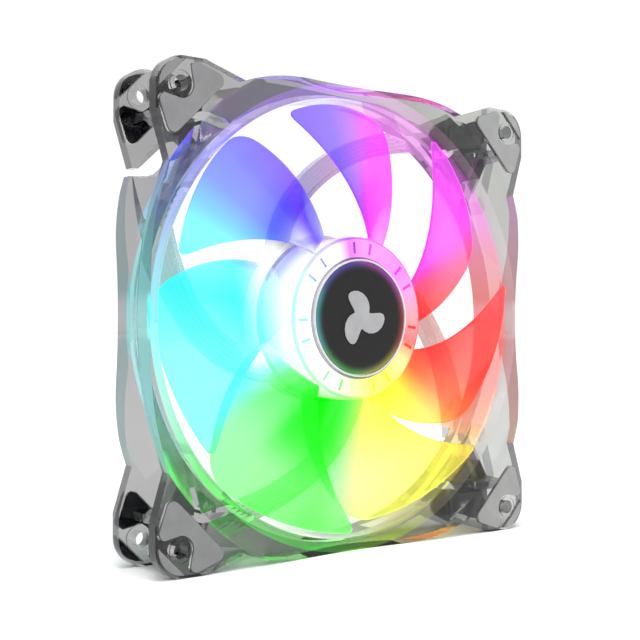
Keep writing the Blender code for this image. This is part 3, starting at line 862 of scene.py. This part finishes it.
def cable_slot():
    """Cut through the rear flange beside the upper left ear, where the cable leaves the duct."""
    outline = [(-74.0, 39.3), (-59.6, 39.3), (-50.2, 48.7), (-53.5, 52.0), (-63.9, 41.6),
               (-74.0, 41.6)]
    front = 0.6
    bm = bmesh.new()
    prism(bm, outline, front, PAST)
    return bm


def build_frame(material):
    """The whole clear moulding, cut and joined as in the CAD and then softened."""
    bm = bmesh.new()
    prism(bm, frame_outline(), -EAR_FACE, EAR_FACE)
    shell = Carving("clear_frame", bm)
    shell.apply(flare_form(), "INTERSECT")
    shell.apply(corner_ribs(), "UNION")
    shell.apply(ear_pockets(pad_pocket()), "DIFFERENCE")
    shell.apply(ear_pockets(corner_pad_pocket()), "DIFFERENCE")
    shell.apply(bore_cut(), "DIFFERENCE")
    shell.apply(screw_bosses(), "UNION")
    shell.apply(screw_holes(), "DIFFERENCE")
    shell.apply(motor_base(), "UNION")
    for name, angle in STRUT_ANGLES.items():
        width = 8.5 if name == "cable" else 7.0
        shell.apply(strut(angle, width), "UNION")
    shell.apply(cable_slot(), "DIFFERENCE")
    obj = shell.bake()
    obj.data.materials.append(material)
    soften(obj, 0.25, 28)
    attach(obj, "frame")
    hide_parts("frame")


# ---------------------------------------------------------------- impeller

def blade(bm, turn):
    """A forward-swept blade with a rounded edge all round. Its front edge leads."""
    rows, columns = 20, 28

    def swept(radius, sweep):
        out = (radius - HUB_R) / (TIP_R - HUB_R)
        return math.radians(sweep[0] + sweep[1] * out + sweep[2] * out ** 2) + turn

    def lead(radius):
        return swept(radius, BLADE_LEAD)

    def trail(radius):
        return swept(radius, BLADE_TRAIL)

    def tip(t):
        """Radius of the blade's end, a share t of the way back from the leading edge."""
        span = (lead(TIP_R) - trail(TIP_R)) * TIP_R
        short = 0.0
        for distance, rounding in zip((t * span, (1 - t) * span), TIP_ROUNDS):
            if distance < rounding:
                short += rounding - math.sqrt(rounding ** 2 - (rounding - distance) ** 2)
        return TIP_R - short

    def thickness(radius, t, run):
        """Full in the middle of the chord and rounded off at the edges and the tip."""
        edge = min(1.0, 0.12 + min(t, 1 - t) * run / BLADE_EDGE)
        end = min(1.0, 0.2 + (TIP_R - radius + 0.15) / BLADE_EDGE)
        return BLADE_THICK * (0.55 + 0.45 * math.sin(math.pi * t)) * math.sqrt(edge * end)

    def point(u, t, side):
        """A point a share u of the way out and a share t of the way back, on either side."""
        radius = BLADE_ROOT_R + (tip(t) - BLADE_ROOT_R) * u
        out = (radius - HUB_R) / (TIP_R - HUB_R)
        front_y = BLADE_FRONT[0] + (BLADE_FRONT[1] - BLADE_FRONT[0]) * out
        depth = BLADE_REAR[0] + (BLADE_REAR[1] - BLADE_REAR[0]) * out - front_y
        angle = lead(radius) + (trail(radius) - lead(radius)) * t
        y = front_y + depth * (t - BLADE_BOW * math.sin(math.pi * t))
        rise = depth * (1 - BLADE_BOW * math.pi * math.cos(math.pi * t))
        run = (lead(radius) - trail(radius)) * radius
        slope = math.hypot(rise, run)
        half = side * thickness(radius, t, run) / 2 * (1.15 - 0.3 * u)
        x, z = polar(radius, angle + half * rise / slope / radius)
        return x, y + half * run / slope, z

    def spaced(count, ends):
        """Shares from 0 to 1, closer together near both ends, or near the outer end only."""
        shares = [k / count for k in range(count + 1)]
        if ends:
            return [0.5 - 0.5 * math.cos(math.pi * s) for s in shares]
        return [math.sin(math.pi / 2 * s) for s in shares]

    def surface(side):
        return [[bm.verts.new(point(u, t, side)) for t in chord] for u in span]

    chord, span = spaced(columns, True), spaced(rows, False)
    under, over = surface(-1), surface(1)
    for grid in (under, over):
        for i in range(rows):
            for j in range(columns):
                bm.faces.new((grid[i][j], grid[i][j + 1], grid[i + 1][j + 1], grid[i + 1][j]))
    for i in range(rows):
        bm.faces.new((under[i][0], under[i + 1][0], over[i + 1][0], over[i][0]))
        bm.faces.new((under[i][-1], over[i][-1], over[i + 1][-1], under[i + 1][-1]))
    for j in range(columns):
        bm.faces.new((under[0][j], over[0][j], over[0][j + 1], under[0][j + 1]))
        bm.faces.new((under[-1][j], under[-1][j + 1], over[-1][j + 1], over[-1][j]))


def hub_slots():
    """A pair of short radial slots in the hub's front face in front of each gap between blades."""
    deep, wide = 1.0, 0.9
    shape = Matrix.Translation((SLOT_AT, HUB_FRONT, 0)) @ Matrix.Diagonal((SLOT_LONG, deep, wide, 1.0))
    bm = bmesh.new()
    for k in range(BLADES):
        for offset in (79.0, 95.5):
            turn = Matrix.Rotation(-math.radians(offset) - 2 * math.pi * k / BLADES, 4, "Y")
            bmesh.ops.create_cube(bm, size=1.0, matrix=turn @ shape)
    return bm


def hub():
    """Cup with a seat for the disc in its face and a boss for the shaft inside."""
    inner, boss_r = HUB_R - HUB_WALL, 3.5
    seat, floor, hole_end, boss_end = HUB_FRONT + 0.6, HUB_FRONT + 1.8, HUB_FRONT + 1.7, -5.4
    profile = [(0, seat), (SEAT_R, seat), (SEAT_R, HUB_FRONT), (HUB_R - 1.2, HUB_FRONT),
               (HUB_R - 0.3, HUB_FRONT + 0.3), (HUB_R, HUB_FRONT + 1.0), (HUB_R, HUB_REAR),
               (inner, HUB_REAR), (inner, floor), (boss_r, floor), (boss_r, boss_end),
               (SHAFT_HOLE_R, boss_end), (SHAFT_HOLE_R, hole_end), (0, hole_end)]
    return turned(profile, HUB_STEPS)


def build_impeller(material):
    """Hub and blades in one moulding."""
    wheel = Carving("frosted_impeller", hub())
    bm = bmesh.new()
    for k in range(BLADES):
        blade(bm, 2 * math.pi * k / BLADES)
    wheel.apply(bm, "UNION")
    wheel.apply(hub_slots(), "DIFFERENCE")
    obj = wheel.bake()
    obj.data.materials.append(material)
    shade_smooth(obj, 40)
    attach(obj, "rotor")
    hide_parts("impeller")


# ---------------------------------------------------------------- other CAD nodes

def smooth_nodes():
    """A node group that welds a node's facets and shades it smooth up to an angle."""
    tree = bpy.data.node_groups.new("smooth_by_angle", "GeometryNodeTree")
    tree.interface.new_socket("Geometry", in_out="INPUT", socket_type="NodeSocketGeometry")
    tree.interface.new_socket("Geometry", in_out="OUTPUT", socket_type="NodeSocketGeometry")
    kinds = ("NodeGroupInput", "GeometryNodeMergeByDistance", "GeometryNodeSetShadeSmooth",
             "GeometryNodeSetShadeSmooth", "NodeGroupOutput")
    start, weld, faces, edges, end = [tree.nodes.new(kind) for kind in kinds]
    weld.inputs["Distance"].default_value = 0.01 * MM
    edges.domain = "EDGE"
    edges.inputs["Shade Smooth"].default_value = False
    angle = tree.nodes.new("GeometryNodeInputMeshEdgeAngle")
    sharp = tree.nodes.new("FunctionNodeCompare")
    sharp.operation = "GREATER_THAN"
    sharp.inputs["B"].default_value = math.radians(32)
    tree.links.new(angle.outputs["Unsigned Angle"], sharp.inputs["A"])
    tree.links.new(sharp.outputs[0], edges.inputs["Selection"])
    chain = (start, weld, faces, edges, end)
    for a, b in zip(chain, chain[1:]):
        tree.links.new(a.outputs[0], b.inputs[0])
    return tree


def dress_nodes(materials):
    """Give every shown CAD node its finish and smooth shading."""
    group = smooth_nodes()
    slots = {entry["node"]: entry["material_slot"] for entry in frame["record"]["subparts"]}
    for name, obj in NODES.items():
        if obj.hide_render:
            continue
        obj.data.materials.clear()
        obj.data.materials.append(materials[slots[name]])
        modifier = obj.modifiers.new("smooth", "NODES")
        modifier.node_group = group


def main():
    make_camera()
    make_world()
    make_floor()
    make_sun()
    make_light("key", (-0.55, -0.75, 0.7), 0.5, 3.0)
    materials = make_materials()
    build_frame(materials["smoked_clear"])
    build_impeller(materials["frosted_clear"])
    dress_nodes(materials)


main()
